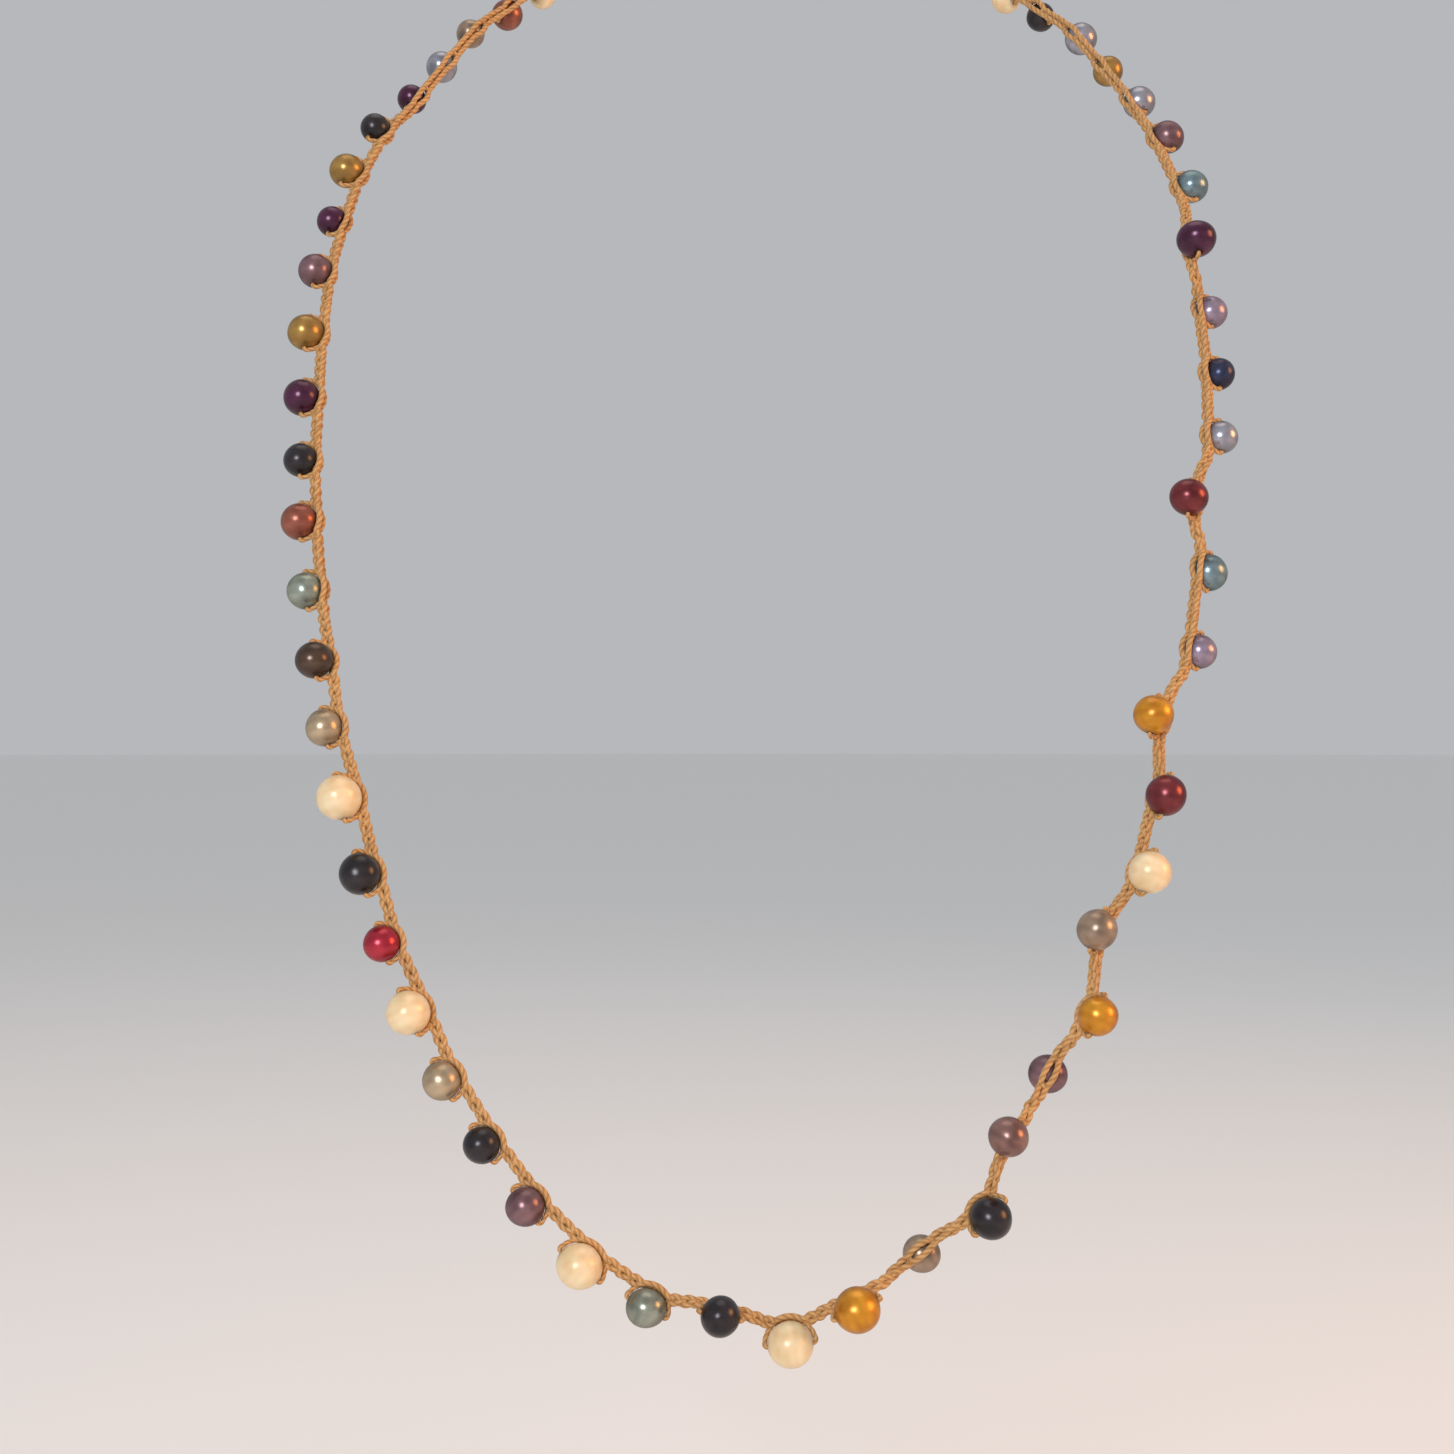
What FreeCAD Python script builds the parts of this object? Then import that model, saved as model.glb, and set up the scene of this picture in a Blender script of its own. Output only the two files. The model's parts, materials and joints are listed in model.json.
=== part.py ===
# A pearl necklace: a crocheted thread chain with dyed pearls beside it, worn round a neck and
# lying on a chest. Millimetres. +Z up, +X to the viewer's right, the front faces -Y.
# The origin is in the middle of the neck, level with the base of its front.
import FreeCAD
import Part
import math
import os
from FreeCAD import Vector

# The crocheted chain and the thread that it is made of
CHAIN_R = 1.1
THREAD_R = 0.42
ARC_SHARE = 0.45            # part of the shorter run that each bend of the chain takes

# How a pearl sits beside the chain
HOLE_R = 0.5
PEARL_GAP = 0.15            # from the chain to the pearl
STAND_OFF = 1.0             # from a pearl's end to the middle of the thread that turns back
THREAD_BEND_R = 0.9

# Closure: a thread loop that slips over a button pearl
LOOP_R = 5.5                # middle of the loop's thread
LOOP_THREAD_R = 0.8
LOOP_AHEAD = 2.6            # from the end of the right chain to the loop's plane
BUTTON_DIA = 7.6
BUTTON_LENGTH = 7.4
BUTTON_AHEAD = 5.2          # from the loop's plane to the button's middle
KNOT_R = 0.85
KNOT_GAP = 0.1

# The body under the necklace, which says where outwards is
NECK_X = 4.0                # the neck stands a little to one side of the middle
NECK_FADE = 60.0            # below the neck's base, where that shift ends
CHEST_DEPTH = 1.2           # how fast the body's middle falls back, per millimetre down
NORMAL_RISE = 0.15          # the chest leans back, so its normal tips up

# Route of the chain, from the closure's loop down the left side and up the right one
ROUTE = [
    # back of the neck, left half
    (-0.9, 34.1, 40.5), (-8.5, 30.5, 40.0), (-20.0, 24.5, 37.5), (-34.0, 13.0, 31.5),
    (-45.0, 0.0, 22.0), (-54.0, -13.0, 9.0),
    # left shoulder and side
    (-61.0, -24.5, -6.0), (-68.0, -34.5, -20.0), (-71.5, -43.5, -36.0), (-72.0, -54.0, -57.5),
    (-71.0, -64.5, -83.0), (-67.0, -73.5, -108.0), (-60.5, -80.5, -132.5), (-52.0, -85.5, -157.0),
    # round the lowest point
    (-41.0, -88.0, -176.5), (-27.5, -89.5, -193.5), (-12.0, -90.0, -203.0), (2.5, -90.0, -205.5),
    (13.5, -90.0, -202.0), (24.5, -89.5, -195.0), (36.0, -88.5, -182.0), (45.5, -86.5, -165.0),
    # right side and shoulder
    (53.5, -83.0, -145.5), (61.0, -78.0, -123.5), (66.0, -72.0, -103.5), (70.0, -65.0, -83.5),
    (72.0, -56.5, -63.0), (72.5, -47.0, -43.0), (72.0, -38.0, -27.0), (67.5, -29.0, -12.0),
    # back of the neck, right half
    (62.0, -17.0, 3.5), (54.0, -3.5, 18.0), (43.5, 10.5, 29.0), (30.0, 23.0, 36.0),
    (16.0, 32.0, 39.5), (5.3, 35.1, 40.5),
]

# Each pearl: distance along the chain from the one before, diameter, length along its hole, and
# the side of the chain that it sits on, in degrees: 0 away from the loop's inside, 90 outwards
# from the body, 180 towards the loop's inside.
PEARLS = [
    # behind the neck, left
    (51.0, 5.6, 5.5, 30), (11.5, 5.9, 6.0, 20), (11.5, 5.4, 5.3, 35), (11.5, 5.8, 5.7, 25),
    # left shoulder
    (11.5, 5.4, 5.2, 30), (13.0, 5.3, 5.3, 65), (10.5, 6.2, 6.0, 50), (10.5, 5.3, 5.4, 30),
    (11.5, 5.8, 5.9, 45), (12.5, 6.3, 6.1, 40),
    # left side
    (12.0, 6.2, 6.2, 25), (12.0, 5.6, 5.7, 30), (10.5, 6.3, 6.1, 15), (12.0, 6.0, 6.1, 10),
    (13.0, 6.1, 5.9, 50), (10.5, 5.9, 6.0, 25),
    # front, down to the lowest point
    (12.0, 7.2, 7.1, 50), (12.0, 6.4, 6.6, 40), (11.0, 5.8, 5.7, 25), (11.0, 6.9, 6.8, 45),
    (11.0, 5.9, 6.1, 20), (11.0, 5.7, 5.8, 20), (11.0, 6.1, 6.0, 20), (11.0, 7.0, 7.2, 25),
    (11.0, 6.1, 6.2, 20), (10.0, 6.3, 6.0, 75), (10.0, 7.2, 7.0, 20),
    # front, up the right
    (10.0, 7.1, 7.0, 65), (12.0, 6.1, 5.8, -75), (11.0, 6.6, 6.4, 35), (11.0, 6.3, 6.1, 115),
    (11.5, 6.3, 6.0, -80), (10.5, 6.3, 6.2, 65), (12.0, 6.3, 6.4, 130), (11.0, 6.7, 6.6, 65),
    (12.0, 6.4, 6.5, 80),
    # right side
    (12.0, 6.4, 6.2, 145), (14.0, 5.5, 5.6, -15), (14.0, 6.0, 6.1, -20), (9.5, 6.3, 6.0, 145),
    (14.5, 5.6, 5.5, 5), (12.0, 5.4, 5.5, 10),
    # right shoulder
    (13.0, 5.7, 5.6, 0), (10.0, 6.8, 6.0, 120), (16.0, 5.9, 5.8, 35), (12.0, 5.9, 6.0, 45),
    (12.0, 5.9, 5.8, 35),
    # behind the neck, right
    (11.5, 5.7, 5.6, 25), (11.5, 6.1, 6.0, 35), (12.0, 5.5, 5.6, 20), (11.5, 5.9, 5.8, 30),
]

# The chain flexes halfway between two pearls: the number of the first one of each pair
OPENS_AFTER = 2
SHOULDER_LEFT_AFTER = 10
FRONT_LEFT_AFTER = 16
FRONT_RIGHT_AFTER = 36
SHOULDER_RIGHT_AFTER = 42


def unit(vector):
    return vector * (1 / vector.Length)


def bend(before, corner, after, tangent):
    """The arc that rounds a corner, tangent to both runs this far from it, and its radius."""
    back, ahead = unit(before - corner), unit(after - corner)
    half_turn = (math.pi - back.getAngle(ahead)) / 2
    radius = tangent / math.tan(half_turn)
    inside = unit(back + ahead) * (radius / math.cos(half_turn) - radius)
    arc = Part.Arc(corner + back * tangent, corner + inside, corner + ahead * tangent)
    return arc.toShape(), radius


def rounded(points, tangent_at):
    """Straight runs joined by tangent arcs, as edges in order, and the arcs' radii."""
    edges, radii, here = [], [], points[0]
    for number in range(1, len(points) - 1):
        arc, radius = bend(*points[number - 1:number + 2], tangent_at(number))
        edges += [Part.LineSegment(here, arc.firstVertex().Point).toShape(), arc]
        here = arc.lastVertex().Point
        radii.append(radius)
    edges.append(Part.LineSegment(here, points[-1]).toShape())
    return edges, radii


def chain_path():
    """The whole route as (edge, its start's distance along the chain, its length)."""
    points = [Vector(*p) for p in ROUTE]
    runs = [(b - a).Length for a, b in zip(points, points[1:])]
    edges, radii = rounded(points, lambda n: ARC_SHARE * min(runs[n - 1], runs[n]))
    print("bend radii, mm:", " ".join(f"{r:.0f}" for r in radii))
    path, start = [], 0.0
    for edge in edges:
        path.append((edge, start, edge.Length))
        start += edge.Length
    print(f"chain length, mm: {start:.1f}")
    return path


def at(path, station):
    """The chain's middle and direction at a distance along it."""
    for edge, start, length in path:
        if station <= start + length:
            break
    where = edge.getParameterByLength(min(max(station - start, 0), length))
    return edge.valueAt(where), edge.tangentAt(where)


def stretch(path, first, last):
    """The route's edges between two distances along it."""
    cut = []
    for edge, start, length in path:
        low, high = max(first - start, 0), min(last - start, length)
        if high - low > 1e-6:
            ends = [edge.getParameterByLength(x) for x in (low, high)]
            cut.append(edge.Curve.toShape(*ends))
    return cut


def tube(edges, radius):
    """A round tube along edges that run smoothly into each other."""
    start = edges[0].FirstParameter
    ring = Part.makeCircle(radius, edges[0].valueAt(start), edges[0].tangentAt(start))
    solid = Part.Wire(edges).makePipeShell([Part.Wire([ring])], True, False)
    expected = math.pi * radius ** 2 * sum(e.Length for e in edges)
    if abs(solid.Volume / expected - 1) > 0.01:
        raise ValueError(f"tube holds {solid.Volume:.1f} mm3 for {expected:.1f} mm3")
    return solid


def out_of_body(point):
    """The direction straight out of the wearer's body, roughly."""
    drop = max(0.0, -point.z)
    middle_x = NECK_X * max(0.0, 1 - drop / NECK_FADE)
    level = unit(Vector(point.x - middle_x, point.y - CHEST_DEPTH * drop, 0))
    return level + Vector(0, 0, NORMAL_RISE)


class Pearl:
    """One pearl's place: its middle, its hole's direction, and the way back to the chain."""

    def __init__(self, number, path, station):
        _, self.diameter, self.length, side = PEARLS[number - 1]
        self.name = f"pearl_{number:02d}"
        self.station = station
        on_chain, self.along = at(path, station)
        out = out_of_body(on_chain)
        out = unit(out - self.along * out.dot(self.along))
        away = self.along.cross(out)
        angle = math.radians(side)
        self.to_pearl = away * math.cos(angle) + out * math.sin(angle)
        self.offset = self.diameter / 2 + PEARL_GAP + CHAIN_R
        self.middle = on_chain + self.to_pearl * self.offset

    def solid(self):
        return pearl_solid(self.diameter, self.length, self.middle, self.along)

    def thread(self):
        """The thread that leaves the chain, goes through the hole and comes back."""
        reach = self.along * (self.length / 2 + STAND_OFF)
        home = self.to_pearl * self.offset
        corners = [self.middle - reach - home, self.middle - reach,
                   self.middle + reach, self.middle + reach - home]
        return tube(rounded(corners, lambda n: THREAD_BEND_R)[0], THREAD_R)


def pearl_solid(diameter, length, middle, along):
    """A near-round pearl, drilled through: an ellipse turned about its hole."""
    across, half = diameter / 2, length / 2
    end = half * math.sqrt(1 - (HOLE_R / across) ** 2)
    axes = (Vector(0, 0, half), Vector(across, 0, 0))
    outline = Part.Ellipse(*(axes if length > diameter else axes[::-1]), Vector(0, 0, 0))
    low, waist, high = Vector(HOLE_R, 0, -end), Vector(across, 0, 0), Vector(HOLE_R, 0, end)
    edges = [Part.LineSegment(low, high).toShape()]
    for first, last in ((low, waist), (waist, high)):
        edges.append(quarter(outline, first, last))
    face = Part.Face(Part.Wire(Part.__sortEdges__(edges)))
    solid = face.revolve(Vector(0, 0, 0), Vector(0, 0, 1), 360)
    solid.Placement = FreeCAD.Placement(middle, FreeCAD.Rotation(Vector(0, 0, 1), along))
    return solid


def quarter(outline, first, last):
    """The shorter way round an ellipse between two of its points, as a spline edge."""
    low, high = sorted([outline.parameter(first), outline.parameter(last)])
    if high - low > math.pi:
        low, high = high, low + 2 * math.pi
    return outline.toBSpline(low, high).toShape()


def chain_solid(path, pearls, first, last):
    """A stretch of the chain with the threads that hold its pearls, as one solid."""
    body = tube(stretch(path, first, last), CHAIN_R)
    threads = [p.thread() for p in pearls if first < p.station < last]
    return body.fuse(threads) if threads else body


def closure(path, end, swing):
    """The loop, the button pearl, and the stem and knot that hold it on the right chain."""
    chain_end, _ = at(path, end)
    pivot, _ = at(path, swing)
    slips_off = unit(Vector(0, 0, 1).cross(chain_end - pivot))
    loop_middle = chain_end + slips_off * LOOP_AHEAD
    button_middle = loop_middle + slips_off * BUTTON_AHEAD
    stem_length = LOOP_AHEAD + BUTTON_AHEAD + BUTTON_LENGTH / 2 + KNOT_GAP + KNOT_R
    stem = Part.makeCylinder(THREAD_R, stem_length, chain_end, slips_off)
    knot = Part.makeSphere(KNOT_R, chain_end + slips_off * stem_length)
    loop = Part.makeTorus(LOOP_R, LOOP_THREAD_R, loop_middle, slips_off)
    button = pearl_solid(BUTTON_DIA, BUTTON_LENGTH, button_middle, slips_off)
    return loop, button, stem.fuse(knot)


def between(pearls, number):
    """The distance along the chain halfway from a pearl to the next one."""
    return (pearls[number - 1].station + pearls[number].station) / 2


def save(name, shape):
    """Writes one sub-part, after checking that its solids are sound."""
    if not shape.isValid() or shape.Volume <= 0:
        raise ValueError(f"{name} is not a valid solid")
    shape.exportStep(f"parts/{name}.step")
    print(f"{name}: {len(shape.Solids)} solid(s), {shape.Volume:.1f} mm3")


def main():
    os.makedirs("parts", exist_ok=True)
    path = chain_path()
    end = path[-1][1] + path[-1][2]

    pearls, station = [], 0.0
    for number in range(1, len(PEARLS) + 1):
        station += PEARLS[number - 1][0]
        pearls.append(Pearl(number, path, station))
    for pearl in pearls:
        save(pearl.name, pearl.solid())

    swing = between(pearls, OPENS_AFTER)
    shoulder = [between(pearls, n) for n in (SHOULDER_LEFT_AFTER, SHOULDER_RIGHT_AFTER)]
    front = [between(pearls, n) for n in (FRONT_LEFT_AFTER, FRONT_RIGHT_AFTER)]
    loop, button, stem = closure(path, end, swing)

    save("back_chain_left", chain_solid(path, pearls, 0, swing))
    save("shoulder_chains", Part.Compound([
        chain_solid(path, pearls, swing, shoulder[0]),
        chain_solid(path, pearls, shoulder[1], between(pearls, len(PEARLS) - 2)),
    ]))
    save("side_chains", Part.Compound([
        chain_solid(path, pearls, shoulder[0], front[0]),
        chain_solid(path, pearls, front[1], shoulder[1]),
    ]))
    save("front_chain", chain_solid(path, pearls, front[0], front[1]))
    right = chain_solid(path, pearls, between(pearls, len(PEARLS) - 2), end)
    save("back_chain_right", right.fuse(stem))
    save("closure_loop", loop)
    save("button_pearl", button)

    hinges = {"opening": [swing], "shoulder_drape": shoulder, "front_drape": front}
    for name, stations in hinges.items():
        points = [at(path, s)[0] for s in stations]
        print(f"{name} hinge:", *[tuple(round(x, 3) for x in p) for p in points])
    return pearls, {k: [at(path, s)[0] for s in v] for k, v in hinges.items()}


main()
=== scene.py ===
import json
import math
import bpy
import numpy as np
from mathutils import Matrix, Vector, noise

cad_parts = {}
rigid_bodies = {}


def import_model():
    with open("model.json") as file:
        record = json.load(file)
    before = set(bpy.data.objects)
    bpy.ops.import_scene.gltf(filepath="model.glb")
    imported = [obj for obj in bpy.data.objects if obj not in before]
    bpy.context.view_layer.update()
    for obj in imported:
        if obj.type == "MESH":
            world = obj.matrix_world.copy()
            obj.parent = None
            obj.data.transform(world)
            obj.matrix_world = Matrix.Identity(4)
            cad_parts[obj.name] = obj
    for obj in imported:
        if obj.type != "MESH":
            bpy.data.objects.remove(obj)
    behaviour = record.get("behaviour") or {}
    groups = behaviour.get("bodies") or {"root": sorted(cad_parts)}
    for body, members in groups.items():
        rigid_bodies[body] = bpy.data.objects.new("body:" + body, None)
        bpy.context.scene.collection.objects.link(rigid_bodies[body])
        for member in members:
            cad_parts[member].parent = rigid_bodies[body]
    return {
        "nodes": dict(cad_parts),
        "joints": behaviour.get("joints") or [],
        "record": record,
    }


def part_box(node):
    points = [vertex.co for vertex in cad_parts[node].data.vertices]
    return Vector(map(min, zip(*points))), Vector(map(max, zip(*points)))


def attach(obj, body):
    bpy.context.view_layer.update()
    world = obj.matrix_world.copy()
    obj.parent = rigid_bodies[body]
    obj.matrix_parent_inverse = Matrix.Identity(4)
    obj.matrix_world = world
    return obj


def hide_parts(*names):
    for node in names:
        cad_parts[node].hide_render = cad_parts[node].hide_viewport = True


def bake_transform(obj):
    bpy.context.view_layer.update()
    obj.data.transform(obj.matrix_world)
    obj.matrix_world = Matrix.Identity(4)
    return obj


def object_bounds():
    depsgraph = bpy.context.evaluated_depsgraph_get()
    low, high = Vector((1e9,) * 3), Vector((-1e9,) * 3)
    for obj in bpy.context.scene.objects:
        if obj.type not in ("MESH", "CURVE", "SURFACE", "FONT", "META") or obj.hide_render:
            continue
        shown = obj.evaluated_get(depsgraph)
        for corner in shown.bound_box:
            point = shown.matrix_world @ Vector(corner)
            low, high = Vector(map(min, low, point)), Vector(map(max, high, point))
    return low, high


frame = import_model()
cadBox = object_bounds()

mm = 0.001

# camera: level, looking straight at the chest
camera = {"place": (-0.006, -0.436, -0.117), "viewAngle": 35.0, "sensor": 36.0}
lensData = bpy.data.cameras.new("camera")
lensData.sensor_width = camera["sensor"]
lensData.lens = camera["sensor"] / 2 / math.tan(math.radians(camera["viewAngle"] / 2))
lensData.clip_start = 0.01
eye = bpy.data.objects.new("camera", lensData)
eye.location = camera["place"]
eye.rotation_euler = (math.radians(90), 0, 0)
bpy.context.scene.collection.objects.link(eye)
bpy.context.scene.camera = eye
bpy.context.scene.view_settings.view_transform = "Standard"     # dyed nacre keeps its full colour
print("camera set")

# route of the chain, loop end first, down the left side and up the right
route = {
    "steps": 48,
    "points": [
        (-0.0009, 0.0341, 0.0405), (-0.0085, 0.0305, 0.0400), (-0.0200, 0.0245, 0.0375),
        (-0.0340, 0.0130, 0.0315), (-0.0450, 0.0000, 0.0220), (-0.0540, -0.0130, 0.0090),
        (-0.0610, -0.0245, -0.0060), (-0.0680, -0.0345, -0.0200), (-0.0715, -0.0435, -0.0360),
        (-0.0720, -0.0540, -0.0575), (-0.0710, -0.0645, -0.0830), (-0.0670, -0.0735, -0.1080),
        (-0.0605, -0.0805, -0.1325), (-0.0520, -0.0855, -0.1570), (-0.0410, -0.0880, -0.1765),
        (-0.0275, -0.0895, -0.1935), (-0.0120, -0.0900, -0.2030), (0.0025, -0.0900, -0.2055),
        (0.0135, -0.0900, -0.2020), (0.0245, -0.0895, -0.1950), (0.0360, -0.0885, -0.1820),
        (0.0455, -0.0865, -0.1650), (0.0535, -0.0830, -0.1455), (0.0610, -0.0780, -0.1235),
        (0.0660, -0.0720, -0.1035), (0.0700, -0.0650, -0.0835), (0.0720, -0.0565, -0.0630),
        (0.0725, -0.0470, -0.0430), (0.0720, -0.0380, -0.0270), (0.0675, -0.0290, -0.0120),
        (0.0620, -0.0170, 0.0035), (0.0540, -0.0035, 0.0180), (0.0435, 0.0105, 0.0290),
        (0.0300, 0.0230, 0.0360), (0.0160, 0.0320, 0.0395), (0.0053, 0.0351, 0.0405),
    ],
}


def unit(vector):
    return vector / np.linalg.norm(vector, axis=-1, keepdims=True)


def smooth(share):
    share = np.clip(share, 0, 1)
    return share * share * (3 - 2 * share)


def splinePoints(points, steps):
    curve = bpy.data.curves.new("route", "CURVE")
    curve.dimensions = "3D"
    curve.resolution_u = steps
    spline = curve.splines.new("NURBS")
    spline.points.add(len(points) - 1)
    for place, point in zip(spline.points, points):
        place.co = (*point, 1)
    spline.order_u = 3
    spline.use_endpoint_u = True
    holder = bpy.data.objects.new("route", curve)
    mesh = bpy.data.meshes.new_from_object(holder)
    found = np.array([v.co for v in mesh.vertices], float)
    bpy.data.objects.remove(holder)
    bpy.data.meshes.remove(mesh)
    return found


def measured(points):
    # distance of each point along the line
    steps = np.linalg.norm(np.diff(points, axis=0), axis=1)
    return np.concatenate([[0], np.cumsum(steps)])


def carried(points, start):
    # side vectors that turn as little as possible along the line
    tangents = unit(np.gradient(points, axis=0))
    sides = np.empty_like(points)
    side = start
    for n, tangent in enumerate(tangents):
        side = unit(side - tangent * (side @ tangent))
        sides[n] = side
    return tangents, sides


def pick(table, known, wanted):
    return np.stack([np.interp(wanted, known, table[:, k]) for k in range(3)], axis=-1)


routeLine = splinePoints(route["points"], route["steps"])
routeDistance = measured(routeLine)
routeTangents, routeSides = carried(routeLine, np.array([0.0, 0.0, 1.0]))
routeBinormals = np.cross(routeTangents, routeSides)
chainLength = routeDistance[-1]
print(f"route: {len(routeLine)} points, {chainLength:.3f} m")

# where each pearl sits: its middle and hole direction come from the joint that it turns on
pearls = []
for joint in frame["joints"]:
    if joint.get("continuous"):
        name = joint["name"].replace("_spin", "")
        middle = np.array(joint["pos_m"], float)
        along = unit(np.array(joint["axis"], float))
        shell = np.array([v.co for v in frame["nodes"][name].data.vertices], float) - middle
        nearest = np.argmin(np.linalg.norm(routeLine - middle, axis=1))
        side = middle - routeLine[nearest]
        side = unit(side - along * (side @ along))
        height = shell @ along
        across = np.linalg.norm(shell - np.outer(height, along), axis=1).max()
        pearls.append({
            "name": name, "body": joint["child"], "holder": joint["parent"],
            "middle": middle, "along": along, "side": side,
            "distance": routeDistance[nearest], "radius": across, "half": height.max(),
        })
pearls.sort(key=lambda pearl: pearl["distance"])
print(f"{len(pearls)} pearls on the chain")

# chain stitch: one thread, each stitch a loop of two legs with a bump behind it
stitch = {
    "pitch": 1.95, "threadRadius": 0.50, "halfWidth": 0.55,
    "pearlHalf": 2.35,      # half of the long stitch that holds a pearl
    "hug": 1.45,            # how far the chain lies in towards its pearls
    "fade": 6.0,            # the ends of the chain lie on the route
    "throughRadius": 0.38,  # the thread is pulled thin where it goes through a pearl
    "width": 2.2,
    "sample": 0.20, "sides": 12,
    "plies": 3, "plyDepth": 0.11, "plyLead": 3.4,
}


def turnsAndShift():
    # at each point of the route: the direction of the pearl side, and the step towards it
    angles, last = [], 0.0
    for pearl in pearls:
        k = np.searchsorted(routeDistance, pearl["distance"])
        k = min(k, len(routeLine) - 1)
        angle = math.atan2(pearl["side"] @ routeBinormals[k], pearl["side"] @ routeSides[k])
        angle += round((last - angle) / (2 * math.pi)) * 2 * math.pi
        angles.append(angle)
        last = angle
    hold = stitch["pearlHalf"] * mm
    turn = np.empty(len(routeLine))
    shift = np.zeros((len(routeLine), 3))
    for n, here in enumerate(routeDistance):
        after = next((k for k, p in enumerate(pearls) if p["distance"] > here), len(pearls))
        a, b = max(after - 1, 0), min(after, len(pearls) - 1)
        start, end = pearls[a]["distance"] + hold, pearls[b]["distance"] - hold
        share = float(smooth((here - start) / (end - start))) if b > a else 0.0
        turn[n] = angles[a] + (angles[b] - angles[a]) * share
        toPearl = pearls[a]["side"] * (1 - share) + pearls[b]["side"] * share
        nearEnd = min(here, chainLength - here) / (stitch["fade"] * mm)
        shift[n] = toPearl * stitch["hug"] * mm * float(smooth(nearEnd))
    return turn, shift


routeTurn, routeShift = turnsAndShift()
chainBack = (routeSides * np.cos(routeTurn)[:, None]
             + routeBinormals * np.sin(routeTurn)[:, None])
chainLine = routeLine + routeShift
chain = {"points": chainLine, "distance": routeDistance, "back": chainBack}
print("chain line drawn in towards its pearls")


def onLine(line, wanted):
    # wanted is rows of (distance, across, back) in metres
    wanted = np.asarray(wanted, float)
    h = 0.3 * mm
    known = line["distance"]
    inside = np.clip(wanted[:, 0], h, known[-1] - h)
    here = pick(line["points"], known, inside)
    ahead = pick(line["points"], known, inside + h)
    behind = pick(line["points"], known, inside - h)
    forward = unit(ahead - behind)
    here = here + forward * (wanted[:, 0] - inside)[:, None]
    back = pick(line["back"], known, inside)
    back = unit(back - forward * np.sum(back * forward, axis=1, keepdims=True))
    across = np.cross(forward, back)
    return here + across * wanted[:, 1:2] + back * wanted[:, 2:3]


def clearOfPearls(points, near):
    # thread inside a pearl's skin comes out to lie on it
    room = (stitch["threadRadius"] + 0.02) * mm
    for pearl in near:
        rel = points - pearl["middle"]
        height = rel @ pearl["along"]
        level = rel - np.outer(height, pearl["along"])
        flat = np.linalg.norm(level, axis=1)
        depth = np.sqrt((height / (pearl["half"] + room)) ** 2
                        + (flat / (pearl["radius"] + room)) ** 2)
        out = np.where(depth < 1, 1 / np.maximum(depth, 0.3), 1.0)
        points = pearl["middle"] + rel * out[:, None]
    return points


def rounded(points, closed=False):
    # a smooth line through the points, sampled evenly
    if closed:
        ends = np.vstack([points[-1:], points, points[:2]])
    else:
        ends = np.vstack([2 * points[:1] - points[1:2], points, 2 * points[-1:] - points[-2:-1]])
    t = np.linspace(0, 1, 9)[:-1, None]
    fine = []
    for a, b, c, d in zip(ends, ends[1:], ends[2:], ends[3:]):
        fine.append(0.5 * (2 * b + (c - a) * t + (2 * a - 5 * b + 4 * c - d) * t ** 2
                           + (3 * b - a - 3 * c + d) * t ** 3))
    fine = np.vstack(fine + [points[:1] if closed else points[-1:]])
    length = measured(fine)
    count = max(int(length[-1] / (stitch["sample"] * mm)), 4)
    return pick(fine, length, np.linspace(0, length[-1], count + 1))


def legs(start, end):
    # up one leg, over the top and down the other, in (distance, across, back)
    q, w = stitch["pitch"], stitch["halfWidth"]
    up = [
        (start - 0.15 * q, -0.10, 0.56), (start + 0.05 * q, -0.30, 0.28),
        (start + 0.40 * q, -0.92 * w, -0.22), (end - 0.20 * q, -w, -0.20),
        (end + 0.15 * q, -0.80 * w, 0.05),
    ]
    if end - start > 1.6 * q:
        # the long stitch is pulled down on to its pearl
        up[2:4] = [(start + 0.45 * q, -0.95 * w, 0.10), ((start + end) / 2, -w, 0.45),
                   (end - 0.25 * q, -w, 0.05)]
    down = [(s, -v, n) for s, v, n in reversed(up[1:])]
    return up + [(end + 0.36 * q, 0.0, 0.22)] + down


def bump(start, end):
    # the thread behind a plain stitch, on to the next one
    q = stitch["pitch"]
    return [(start + 0.30 * q, 0.06, 0.66), (end - 0.45 * q, 0.0, 0.70)]


def stitchPlan(length, held):
    # (start, end, pearl number or None) of each stitch, in millimetres
    plan, here = [], 0.0
    for number, pearl in enumerate(held):
        middle = pearl["distance"] / mm
        ahead = middle - stitch["pearlHalf"]
        plain = max(1, round((ahead - here) / stitch["pitch"]))
        edges = np.linspace(here, ahead, plain + 1)
        plan += [(a, b, None) for a, b in zip(edges, edges[1:])]
        here = middle + stitch["pearlHalf"]
        plan.append((ahead, here, number))
    plain = max(1, round((length - here) / stitch["pitch"]))
    edges = np.linspace(here, length, plain + 1)
    return plan + [(a, b, None) for a, b in zip(edges, edges[1:])]


def poleThread(pearl, leaves, enters):
    # out of the chain, round one end of the pearl, through its hole and back round the other
    room = (stitch["throughRadius"] + 0.01) * mm
    half, radius = pearl["half"] + room, pearl["radius"] + room

    def place(lengthways, outwards):
        return pearl["middle"] + pearl["along"] * lengthways + pearl["side"] * outwards

    arc = [(-half * math.sin(a), -radius * math.cos(a)) for a in np.radians([44, 58, 72])]
    mouth = [(-half, -0.36 * mm), (-half + 0.30 * mm, 0.02 * mm), (-half + 0.9 * mm, 0.0)]
    lower = [place(*p) for p in arc + mouth]
    upper = [place(-u, w) for u, w in reversed(arc + mouth)]
    return np.array([leaves] + lower + [place(0, 0)] + upper + [enters])


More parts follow.
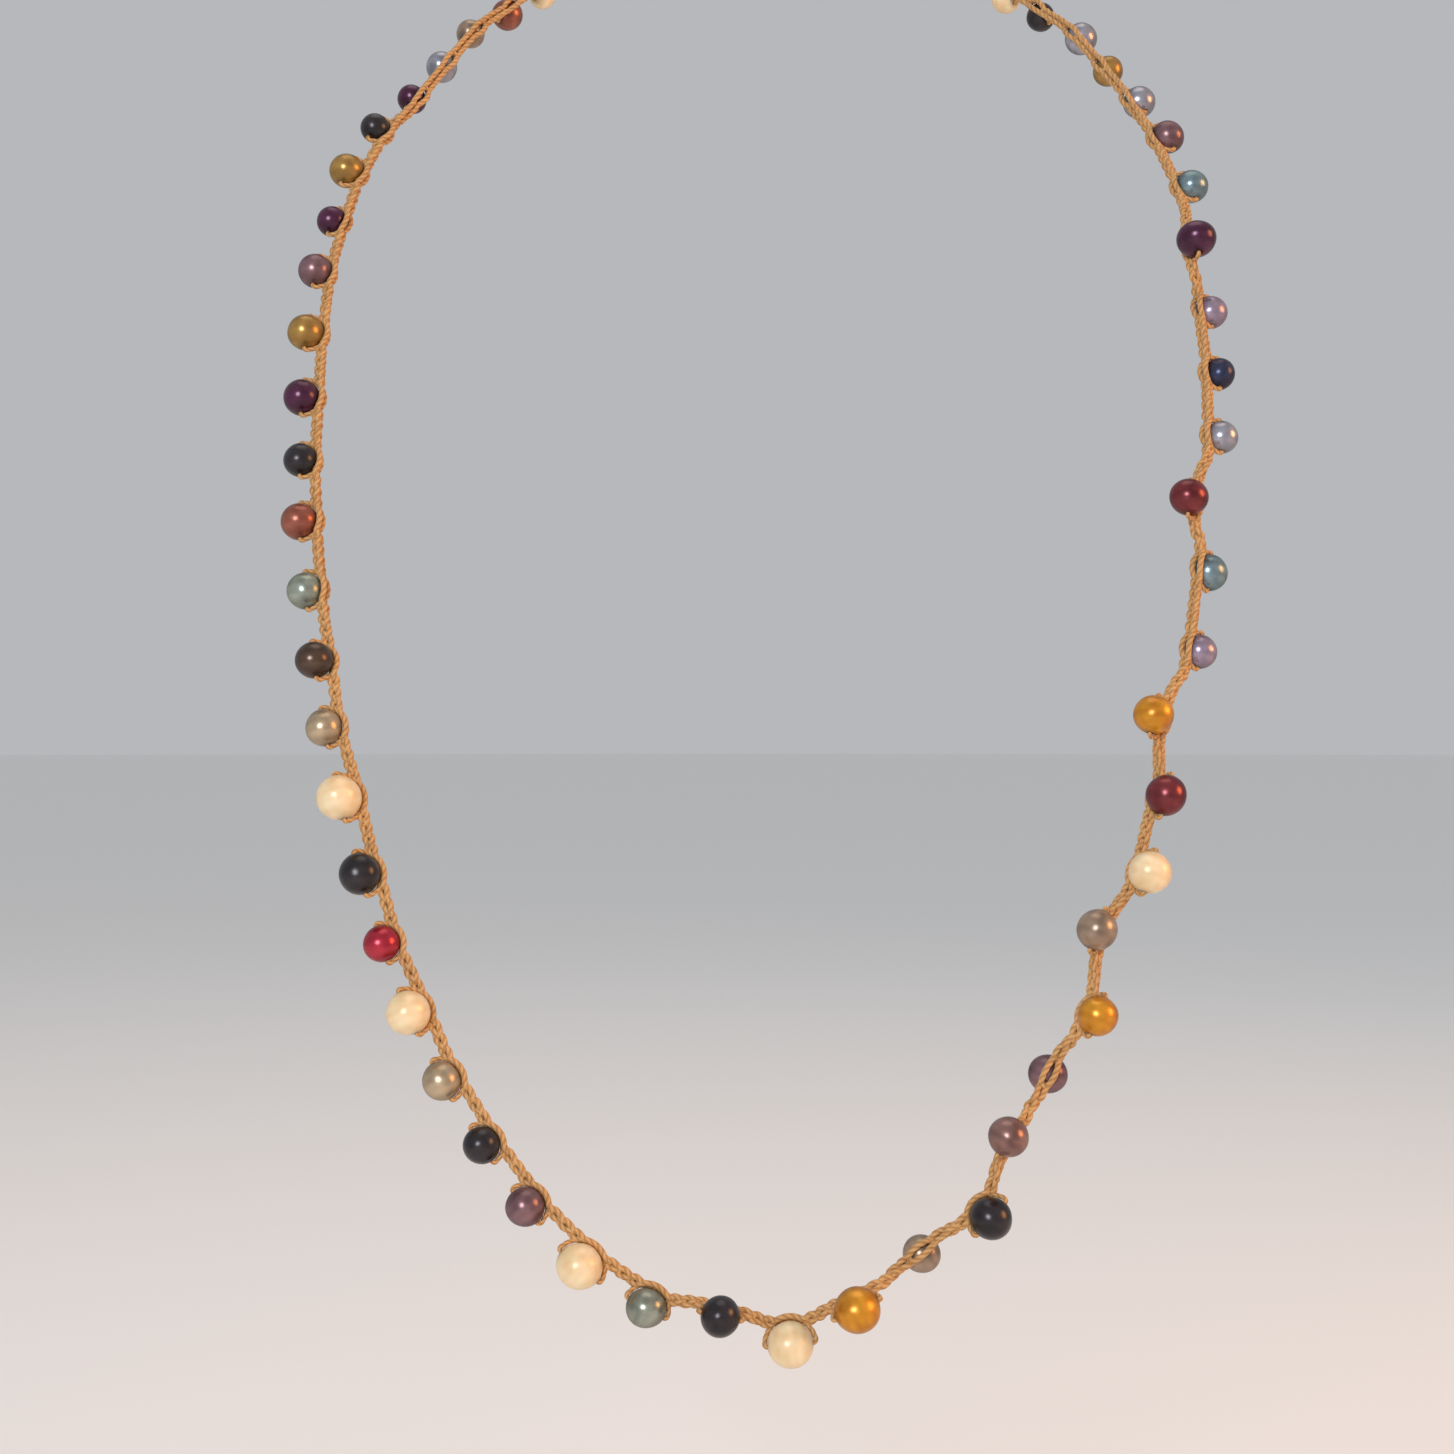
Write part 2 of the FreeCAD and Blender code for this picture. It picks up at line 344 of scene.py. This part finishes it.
def workChain():
    # the thread between one pearl's hole and the next, and the thread through each pearl
    strands, throughs, current = [], [], []
    for start, end, number in stitchPlan(chainLength / mm, pearls):
        current += legs(start, end)
        if number is None:
            current += bump(start, end)
            continue
        strands.append(current)
        ends = [current[-1], (end - 0.15 * stitch["pitch"], -0.10, 0.56)]
        leaves, enters = onLine(chain, np.array(ends) * mm)
        throughs.append(poleThread(pearls[number], leaves, enters))
        current = []
    strands.append(current)
    lines = []
    for k, strand in enumerate(strands):
        near = pearls[max(k - 1, 0):k + 1]
        points = clearOfPearls(onLine(chain, np.array(strand) * mm), near)
        lines.append(clearOfPearls(rounded(points), near))
    return lines, [rounded(points) for points in throughs]


def threadMesh(name, lines, closed=False, radius=None):
    # round threads with three plies twisted into them; u runs round and v along, in millimetres
    radius = radius or stitch["threadRadius"] * mm
    sides = stitch["sides"]
    theta = np.linspace(0, 2 * math.pi, sides, endpoint=False)
    verts, faces, uvs, offset = [], [], [], 0
    for line in lines:
        points = line[:-1] if closed else line
        tangents, across = carried(points, np.array([0.13, 0.31, 0.94]))
        other = np.cross(tangents, across)
        length = measured(points)
        twist = 2 * math.pi * length / (stitch["plyLead"] * mm)
        lobes = np.cos(stitch["plies"] * (theta[None, :] - twist[:, None]))
        size = radius * (1 - stitch["plyDepth"] / 2 + stitch["plyDepth"] * lobes / 2)
        ring = (points[:, None, :] + across[:, None, :] * (size * np.cos(theta))[:, :, None]
                + other[:, None, :] * (size * np.sin(theta))[:, :, None])
        count = len(points)
        verts.append(ring.reshape(-1, 3))
        rows = range(count if closed else count - 1)
        for i in rows:
            j = (i + 1) % count
            for k in range(sides):
                m = (k + 1) % sides
                faces.append((offset + i * sides + k, offset + i * sides + m,
                              offset + j * sides + m, offset + j * sides + k))
                low, high = length[i] / mm, (length[i] + stitch["sample"] * mm) / mm
                uvs += [(k / sides, low), ((k + 1) / sides, low),
                        ((k + 1) / sides, high), (k / sides, high)]
        if not closed:
            faces.append(tuple(offset + k for k in reversed(range(sides))))
            faces.append(tuple(offset + (count - 1) * sides + k for k in range(sides)))
            uvs += [(k / sides, 0.0) for k in range(2 * sides)]
        offset += count * sides
    return meshPiece(name, np.vstack(verts), faces, uvs)


def meshPiece(name, verts, faces, uvs=None):
    mesh = bpy.data.meshes.new(name)
    mesh.from_pydata(np.asarray(verts, float).tolist(), [], faces)
    if uvs:
        layer = mesh.uv_layers.new(name="thread")
        layer.data.foreach_set("uv", np.array(uvs, np.float32).ravel())
    mesh.polygons.foreach_set("use_smooth", [True] * len(faces))
    mesh.update()
    piece = bpy.data.objects.new(name, mesh)
    bpy.context.scene.collection.objects.link(piece)
    return piece


# materials
def linear(code, strength=1.0):
    channels = [int(code[k:k + 2], 16) / 255 for k in (1, 3, 5)]
    bright = [c / 12.92 if c <= 0.04045 else ((c + 0.055) / 1.055) ** 2.4 for c in channels]
    return (*[c * strength for c in bright], 1.0)


def addNode(tree, kind, settings=None, links=None):
    made = tree.nodes.new(kind)
    for key, value in (settings or {}).items():
        if isinstance(key, str) and hasattr(made, key):
            setattr(made, key, value)
        else:
            made.inputs[key].default_value = value
    for key, source in (links or {}).items():
        tree.links.new(source, made.inputs[key])
    return made


def newMaterial(name):
    material = bpy.data.materials.new(name)
    material.use_nodes = True
    material.node_tree.nodes.clear()
    return material, material.node_tree


silkThread = {
    "low": "#86572B", "main": "#BC894F", "high": "#D6A669",
    "fibresRound": 10, "fibreLead": 1.1,      # real fibres are finer, drawn coarser to show
}


def silkThreadMaterial():
    # twisted silk beading thread: a soft sheen, with a painted highlight on the ridges of its
    # plies and painted shade in the grooves between them
    material, tree = newMaterial("twisted silk thread")
    uv = addNode(tree, "ShaderNodeUVMap", {"uv_map": "thread"})
    split = addNode(tree, "ShaderNodeSeparateXYZ", links={0: uv.outputs[0]})
    place = addNode(tree, "ShaderNodeTexCoord")

    def stripes(around, lead):
        # an even helix: whole turns round, one lead along
        turns = addNode(tree, "ShaderNodeMath", {"operation": "MULTIPLY", 1: 2 * math.pi * around},
                        {0: split.outputs[0]})
        run = addNode(tree, "ShaderNodeMath", {"operation": "MULTIPLY", 1: 2 * math.pi / lead},
                      {0: split.outputs[1]})
        total = addNode(tree, "ShaderNodeMath", {"operation": "SUBTRACT"},
                        {0: turns.outputs[0], 1: run.outputs[0]})
        return addNode(tree, "ShaderNodeMath", {"operation": "SINE"}, {0: total.outputs[0]})

    plies = stripes(stitch["plies"], stitch["plyLead"] / stitch["plies"])
    fibres = stripes(silkThread["fibresRound"], silkThread["fibreLead"])
    worn = addNode(tree, "ShaderNodeTexNoise", {"Scale": 260.0, "Detail": 3.0},
                   {"Vector": place.outputs["Object"]})
    fuzz = addNode(tree, "ShaderNodeTexNoise", {"Scale": 2600.0, "Detail": 2.0},
                   {"Vector": place.outputs["Object"]})
    # painted shade and highlight: the ply grooves are coloured darker and the ply ridges paler, as
    # light would fall on a twisted thread
    plyPaintedShade = addNode(tree, "ShaderNodeMapRange",
                       {"From Min": -1.0, "From Max": 1.0, "To Min": 0.0, "To Max": 0.55},
                       {"Value": plies.outputs[0]})
    # fine fibre stripes, added on top of the painted ply shade and highlight
    fibresAndPlyShade = addNode(tree, "ShaderNodeMath",
                         {"operation": "MULTIPLY_ADD", 1: 0.12},
                         {0: fibres.outputs[0], 2: plyPaintedShade.outputs[0]})
    shade = addNode(tree, "ShaderNodeMath", {"operation": "MULTIPLY_ADD", 1: 0.5},
                    {0: worn.outputs[0], 2: fibresAndPlyShade.outputs[0]})
    ramp = addNode(tree, "ShaderNodeValToRGB", links={0: shade.outputs[0]})
    ramp.color_ramp.elements[0].color = linear(silkThread["low"])
    ramp.color_ramp.elements[1].color = linear(silkThread["high"])
    ramp.color_ramp.elements.new(0.5).color = linear(silkThread["main"])
    rise = addNode(tree, "ShaderNodeMath", {"operation": "MULTIPLY_ADD", 1: 0.35},
                   {0: fibres.outputs[0], 2: fuzz.outputs[0]})
    bumps = addNode(tree, "ShaderNodeBump", {"Strength": 0.35, "Distance": 0.00012},
                    {"Height": rise.outputs[0]})
    rough = addNode(tree, "ShaderNodeMapRange", {"To Min": 0.48, "To Max": 0.72},
                    {"Value": fuzz.outputs[0]})
    shader = addNode(tree, "ShaderNodeBsdfPrincipled",
                     {"IOR": 1.5, "Sheen Weight": 0.35, "Sheen Roughness": 0.4,
                      "Sheen Tint": linear("#F0D8B0")},
                     {"Base Color": ramp.outputs[0], "Roughness": rough.outputs[0],
                      "Normal": bumps.outputs[0]})
    addNode(tree, "ShaderNodeOutputMaterial", links={0: shader.outputs[0]})
    return material


thread = silkThreadMaterial()

# the chain in stretches, each over no more than two bodies: one on a single body is attached to
# it, one over two bodies stays fixed in place
stretches = [
    # name, first and last strand, bodies, CAD nodes it stands for
    ("chain_back_left", 0, 1, ["back_left"], ["back_chain_left"]),
    ("chain_opening", 2, 4, ["back_left", "shoulders"], ["back_chain_left", "shoulder_chains"]),
    ("chain_left_shoulder", 5, 8, ["shoulders"], ["shoulder_chains"]),
    ("chain_left_drape", 9, 13, ["shoulders", "sides"], ["shoulder_chains", "side_chains"]),
    ("chain_left_fold", 14, 18, ["sides", "front"], ["side_chains", "front_chain"]),
    ("chain_front", 19, 33, ["front"], ["front_chain"]),
    ("chain_right_fold", 34, 39, ["front", "sides"], ["front_chain", "side_chains"]),
    ("chain_right_drape", 40, 44, ["sides", "shoulders"], ["side_chains", "shoulder_chains"]),
    ("chain_back_right", 45, 51, ["shoulders"], ["shoulder_chains", "back_chain_right"]),
]

strandLines, throughLines = workChain()
print(f"{len(strandLines)} strands worked")


for pearl, line in zip(pearls, throughLines):
    piece = threadMesh(pearl["name"] + "_thread", [line], radius=stitch["throughRadius"] * mm)
    piece.data.materials.append(thread)
    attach(piece, pearl["holder"])

for name, first, last, bodies, nodes in stretches:
    piece = threadMesh(name, strandLines[first:last + 1])
    piece.data.materials.append(thread)
    if len(bodies) == 1:
        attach(piece, bodies[0])
    else:
        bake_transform(piece)
    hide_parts(*nodes)
    print(name, "done")

# closure: a twisted loop on the left end, and a button pearl on the right end's stem
closure = {"twistTurns": 11, "twistRadius": 0.40, "bindingTurns": 3.5, "bindingRadius": 1.15,
           "bindingLength": 2.7, "bindingAhead": 0.9, "stemRadius": 0.42,
           "knotSize": 0.30, "knotAhead": 0.75, "knotRadius": 0.40}


def middleOf(node):
    low, high = (np.array(corner, float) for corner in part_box(node))
    return (low + high) / 2


loopMiddle, buttonMiddle = middleOf("closure_loop"), middleOf("button_pearl")
slipsOff = unit(buttonMiddle - loopMiddle)
ringUp = unit(np.array([0.0, 0.0, 1.0]) - slipsOff * slipsOff[2])
ringAcross = np.cross(slipsOff, ringUp)
loopShell = np.array([v.co for v in frame["nodes"]["closure_loop"].data.vertices], float)
loopReach = np.linalg.norm(loopShell - loopMiddle, axis=1).max()
loopRadius = loopReach - 2 * closure["twistRadius"] * mm


def ringThread(phase):
    turn = np.linspace(0, 2 * math.pi, 400)
    out = np.outer(np.cos(turn), ringUp) + np.outer(np.sin(turn), ringAcross)
    twist = closure["twistTurns"] * turn + phase
    wide = loopRadius + closure["twistRadius"] * mm * np.cos(twist)
    lift = closure["twistRadius"] * mm * np.sin(twist)
    return loopMiddle + out * wide[:, None] + np.outer(lift, slipsOff)


loopPiece = threadMesh("closure_loop_thread", [ringThread(0.0), ringThread(math.pi)], closed=True)
loopPiece.data.materials.append(thread)
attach(loopPiece, "back_left")
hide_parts("closure_loop")


def wrapped(start, direction, length, turns, radius):
    # a close helix of thread round an axis, its ends tucked in
    side = unit(np.cross(direction, np.array([0.0, 0.3, 1.0])))
    other = np.cross(direction, side)
    share = np.linspace(0, 1, 160)
    angle = 2 * math.pi * turns * share
    tuck = np.minimum(smooth(share / 0.08), smooth((1 - share) / 0.08))
    reach = radius * (0.45 + 0.55 * tuck)
    return (start + np.outer(share * length, direction) + np.outer(reach * np.cos(angle), side)
            + np.outer(reach * np.sin(angle), other))


chainStart = routeLine[0]
loopward = unit(chainStart - routeLine[20])
binding = wrapped(chainStart + loopward * closure["bindingAhead"] * mm, -loopward,
                  closure["bindingLength"] * mm, closure["bindingTurns"],
                  closure["bindingRadius"] * mm)
bindingPiece = threadMesh("closure_loop_binding", [rounded(binding[::4])])
bindingPiece.data.materials.append(thread)
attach(bindingPiece, "back_left")

# the stem: the chain's thread runs on through the button to the end knot
chainEnd = routeLine[-1]
buttonShell = np.array([v.co for v in frame["nodes"]["button_pearl"].data.vertices], float)
buttonRel = buttonShell - buttonMiddle
buttonHeight = buttonRel @ slipsOff
buttonHalf = buttonHeight.max()
buttonRadius = np.linalg.norm(buttonRel - np.outer(buttonHeight, slipsOff), axis=1).max()
knotMiddle = buttonMiddle + slipsOff * (buttonHalf + closure["knotAhead"] * mm)
stemLine = np.array([
    chainEnd - slipsOff * 0.6 * mm, chainEnd + slipsOff * 1.5 * mm,
    loopMiddle, buttonMiddle - slipsOff * buttonHalf, buttonMiddle, knotMiddle,
])
stemPiece = threadMesh("closure_stem", [rounded(stemLine)], radius=closure["stemRadius"] * mm)
stemPiece.data.materials.append(thread)
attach(stemPiece, "shoulders")


def endKnot():
    # a trefoil: the overhand knot's own path
    t = np.linspace(0, 2 * math.pi, 120)
    wide = np.sin(t) + 2 * np.sin(2 * t)
    tall = np.cos(t) - 2 * np.cos(2 * t)
    deep = -np.sin(3 * t)
    size = closure["knotSize"] * mm
    return (knotMiddle + np.outer(wide * size, ringUp) + np.outer(tall * size, ringAcross)
            + np.outer(deep * size, slipsOff))


knotPiece = threadMesh("closure_end_knot", [endKnot()], closed=True,
                       radius=closure["knotRadius"] * mm)
knotPiece.data.materials.append(thread)
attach(knotPiece, "shoulders")
print("closure made")

# pearls: each slightly uneven, drilled through, with its own dye
dyes = {
    # slot: body, overtone, metallic, roughness, pearly film in nanometres
    "pearl_black": ("#191617", "#332D30", 0.30, 0.28, 0.0),
    "pearl_navy": ("#20222E", "#3C425A", 0.40, 0.26, 330.0),
    "pearl_plum": ("#331226", "#5A2A48", 0.45, 0.24, 0.0),
    "pearl_wine": ("#561A20", "#84363A", 0.55, 0.28, 0.0),
    "pearl_crimson": ("#8C1426", "#B83244", 0.55, 0.26, 0.0),
    "pearl_copper": ("#763A2C", "#A0604C", 0.50, 0.28, 0.0),
    "pearl_rose": ("#644640", "#9A746C", 0.50, 0.28, 0.0),
    "pearl_mauve": ("#563C40", "#8C6A70", 0.50, 0.28, 240.0),
    "pearl_lavender": ("#766A7E", "#A898A8", 0.55, 0.26, 300.0),
    "pearl_taupe": ("#746252", "#B0967E", 0.50, 0.28, 0.0),
    "pearl_bronze": ("#33261F", "#5C483A", 0.50, 0.26, 0.0),
    "pearl_champagne": ("#8C7A62", "#C2AC8C", 0.55, 0.30, 0.0),
    "pearl_gold": ("#805E2A", "#B48C48", 0.55, 0.28, 0.0),
    "pearl_amber": ("#B06A0C", "#DC9A2A", 0.45, 0.30, 0.0),
    "pearl_cream": ("#DEBE8C", "#F0DAB2", 0.08, 0.30, 0.0),
    "pearl_silver": ("#7A7C88", "#B2B0B8", 0.60, 0.24, 300.0),
    "pearl_sage": ("#6A7064", "#A4AC9C", 0.55, 0.26, 330.0),
    "pearl_peacock": ("#66685A", "#A0A494", 0.55, 0.26, 360.0),
    "pearl_teal": ("#566A70", "#8CA4AA", 0.60, 0.26, 300.0),
}
nacre = {"ior": 1.56, "coat": 0.30, "coatRoughness": 0.20, "edge": 0.35, "filmIor": 1.35,
         "glow": 0.30, "glowMm": 1.2, "cloudMm": 3.6, "pitMm": 0.35, "ringMm": 1.4}


def dyedNacre(slotName):
    # tumbled freshwater nacre: a deep satin gloss, cloudy dye, darker where it pools at the hole
    body, overtone, metallic, roughness, film = dyes[slotName]
    material, tree = newMaterial("dyed nacre " + slotName.replace("pearl_", ""))
    place = addNode(tree, "ShaderNodeTexCoord")
    spot = place.outputs["Object"]
    cloud = addNode(tree, "ShaderNodeTexNoise",
                    {"Scale": 1 / (nacre["cloudMm"] * mm), "Detail": 2.0, "Roughness": 0.45},
                    {"Vector": spot})
    pits = addNode(tree, "ShaderNodeTexNoise",
                   {"Scale": 1 / (nacre["pitMm"] * mm), "Detail": 2.0}, {"Vector": spot})
    parts = addNode(tree, "ShaderNodeSeparateXYZ", links={0: spot})
    wobble = addNode(tree, "ShaderNodeMath", {"operation": "MULTIPLY_ADD", 1: 0.6 * mm},
                     {0: cloud.outputs[0], 2: parts.outputs[2]})
    rings = addNode(tree, "ShaderNodeMath",
                    {"operation": "MULTIPLY", 1: 2 * math.pi / (nacre["ringMm"] * mm)},
                    {0: wobble.outputs[0]})
    ringWave = addNode(tree, "ShaderNodeMath", {"operation": "SINE"}, {0: rings.outputs[0]})
    level = addNode(tree, "ShaderNodeCombineXYZ", links={0: parts.outputs[0], 1: parts.outputs[1]})
    fromHole = addNode(tree, "ShaderNodeVectorMath", {"operation": "LENGTH"},
                       {0: level.outputs[0]})
    pooled = addNode(tree, "ShaderNodeMapRange",
                     {"From Min": 0.5 * mm, "From Max": 1.5 * mm, "To Min": 0.55, "To Max": 1.0},
                     {"Value": fromHole.outputs["Value"]})
    blendOf = addNode(tree, "ShaderNodeMapRange",
                      {"From Min": 0.3, "From Max": 0.7}, {"Value": cloud.outputs[0]})
    mixed = addNode(tree, "ShaderNodeMath", {"operation": "MULTIPLY_ADD", 1: 0.08},
                    {0: ringWave.outputs[0], 2: blendOf.outputs[0]})
    ramp = addNode(tree, "ShaderNodeValToRGB", links={0: mixed.outputs[0]})
    ramp.color_ramp.elements[0].color = linear(body)
    ramp.color_ramp.elements[1].color = linear(overtone)
    dyed = addNode(tree, "ShaderNodeVectorMath", {"operation": "SCALE"},
                   {0: ramp.outputs[0], "Scale": pooled.outputs[0]})
    height = addNode(tree, "ShaderNodeMath", {"operation": "MULTIPLY_ADD", 1: 0.15},
                     {0: ringWave.outputs[0], 2: pits.outputs[0]})
    bumps = addNode(tree, "ShaderNodeBump", {"Strength": 0.06, "Distance": 0.00005},
                    {"Height": height.outputs[0]})
    rough = addNode(tree, "ShaderNodeMapRange",
                    {"To Min": roughness - 0.02, "To Max": roughness + 0.04},
                    {"Value": pits.outputs[0]})
    shader = addNode(tree, "ShaderNodeBsdfPrincipled",
                     {"Metallic": metallic, "IOR": nacre["ior"], "Coat Weight": nacre["coat"],
                      "Coat Roughness": nacre["coatRoughness"],
                      "Specular Tint": (nacre["edge"],) * 3 + (1.0,),
                      "Subsurface Weight": nacre["glow"] * (1 - metallic),
                      "Subsurface Scale": nacre["glowMm"] * mm,
                      "Thin Film Thickness": film, "Thin Film IOR": nacre["filmIor"]},
                     {"Base Color": dyed.outputs[0], "Roughness": rough.outputs[0],
                      "Normal": bumps.outputs[0]})
    addNode(tree, "ShaderNodeOutputMaterial", links={0: shader.outputs[0]})
    return material


nacreBySlot = {name: dyedNacre(name) for name in dyes}
slotOf = {entry["node"]: entry["material_slot"] for entry in frame["record"]["subparts"]}
pearlForm = {"segments": 56, "rings": 36, "hole": 0.46, "lip": 0.10, "uneven": 0.035}


def pearlMesh(name, radius, half, seed):
    # built round local Z, which is its hole: skin, rounded lips and the drilled wall. It is
    # uneven only inwards, so it turns clear of the thread.
    hole, lip = pearlForm["hole"] * mm, pearlForm["lip"] * mm
    start = math.asin(min(0.9, (hole + lip) / radius))
    profile = []
    for a in np.linspace(start, math.pi - start, pearlForm["rings"]):
        profile.append((radius * math.sin(a), half * math.cos(a)))
    top, bottom = profile[0], profile[-1]
    profile = ([(hole + lip * 0.3, top[1] - lip * 0.25)] + profile
               + [(hole + lip * 0.3, bottom[1] + lip * 0.25)])
    profile += [(hole, z) for z in np.linspace(bottom[1] + lip, top[1] - lip, 7)]
    count, segments = len(profile), pearlForm["segments"]
    turns = [2 * math.pi * k / segments for k in range(segments)]
    shaped = []
    for x, y, z in [(r * math.cos(a), r * math.sin(a), z) for r, z in profile for a in turns]:
        away = min(1.0, (math.hypot(x, y) - hole) / (0.5 * radius))
        spot = Vector((x, y, z)) / radius
        swell = noise.noise(spot * 0.8 + Vector((seed * 3.7, seed * 1.3, 0.0)))
        grow = 1 - pearlForm["uneven"] * max(0.0, 0.6 - swell) * max(0.0, away)
        shaped.append((x * grow, y * grow, z * (1 + (grow - 1) * 0.6)))
    faces = []
    for i in range(count):
        j = (i + 1) % count
        for k in range(segments):
            m = (k + 1) % segments
            faces.append((i * segments + k, j * segments + k, j * segments + m, i * segments + m))
    return meshPiece(name, shaped, faces)


def stand(piece, middle, along, side):
    # local Z along the hole, local X towards the side
    x = unit(side - along * (side @ along))
    y = np.cross(along, x)
    turn = Matrix((x, y, along)).transposed().to_4x4()
    piece.matrix_world = Matrix.Translation(Vector(middle)) @ turn


for number, pearl in enumerate(pearls):
    piece = pearlMesh(pearl["name"] + "_nacre", pearl["radius"], pearl["half"], number + 1)
    stand(piece, pearl["middle"], pearl["along"], pearl["side"])
    piece.data.materials.append(nacreBySlot[slotOf[pearl["name"]]])
    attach(piece, pearl["body"])
    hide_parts(pearl["name"])
button = pearlMesh("button_pearl_nacre", buttonRadius, buttonHalf, 77)
stand(button, buttonMiddle, slipsOff, ringUp)
button.data.materials.append(nacreBySlot["pearl_cream"])
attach(button, "shoulders")
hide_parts("button_pearl")
print("pearls made")

# floor, world and lights
studio = {"floorDrop": 0.05, "floorRings": (0.5, 1.5, 4.0, 12.0), "floor": "#F8F7F5",
          "world": "#EEF0F4", "worldStrength": 0.55, "aim": (0.0, -0.06, -0.08)}


def floorPiece():
    material, tree = newMaterial("matte paper floor")
    shader = addNode(tree, "ShaderNodeBsdfPrincipled",
                     {"Base Color": linear(studio["floor"]), "Roughness": 0.9})
    addNode(tree, "ShaderNodeOutputMaterial", links={0: shader.outputs[0]})
    low = float(cadBox[0][2]) - studio["floorDrop"]
    around = 48
    verts = [(0, 0, low)]
    faces = []
    for ring in studio["floorRings"]:
        for k in range(around):
            a = 2 * math.pi * k / around
            verts.append((ring * math.cos(a), ring * math.sin(a), low))
    for k in range(around):
        m = (k + 1) % around
        faces.append((0, 1 + k, 1 + m))
        for ring in range(len(studio["floorRings"]) - 1):
            a, b = 1 + ring * around, 1 + (ring + 1) * around
            faces.append((a + k, b + k, b + m, a + m))
    piece = meshPiece("floor", verts, faces)
    piece.data.materials.append(material)


floorPiece()
world = bpy.data.worlds.new("soft room")
world.use_nodes = True
background = world.node_tree.nodes["Background"]
background.inputs["Color"].default_value = linear(studio["world"])
background.inputs["Strength"].default_value = studio["worldStrength"]
bpy.context.scene.world = world

lightSpread = 100         # keeps each light off the floor beneath it
lights = {
    # name: (place, size, power, colour)
    "window": ((-0.36, -1.15, 0.20), 0.44, 2.4, "#F4F7FF"),
    "lamp": ((0.95, -0.30, 0.20), 0.50, 1.7, "#FFB066"),
    "top": ((0.0, 0.10, 1.10), 0.90, 0.8, "#FFF6EA"),
}
for name, (place, size, power, colour) in lights.items():
    lamp = bpy.data.lights.new(name, "AREA")
    lamp.shape = "DISK"
    lamp.size = size
    lamp.energy = power
    lamp.spread = math.radians(lightSpread)
    lamp.color = linear(colour)[:3]
    holder = bpy.data.objects.new(name, lamp)
    holder.location = place
    aim = Vector(studio["aim"]) - Vector(place)
    holder.rotation_euler = aim.to_track_quat("-Z", "Y").to_euler()
    bpy.context.scene.collection.objects.link(holder)
print("studio set")
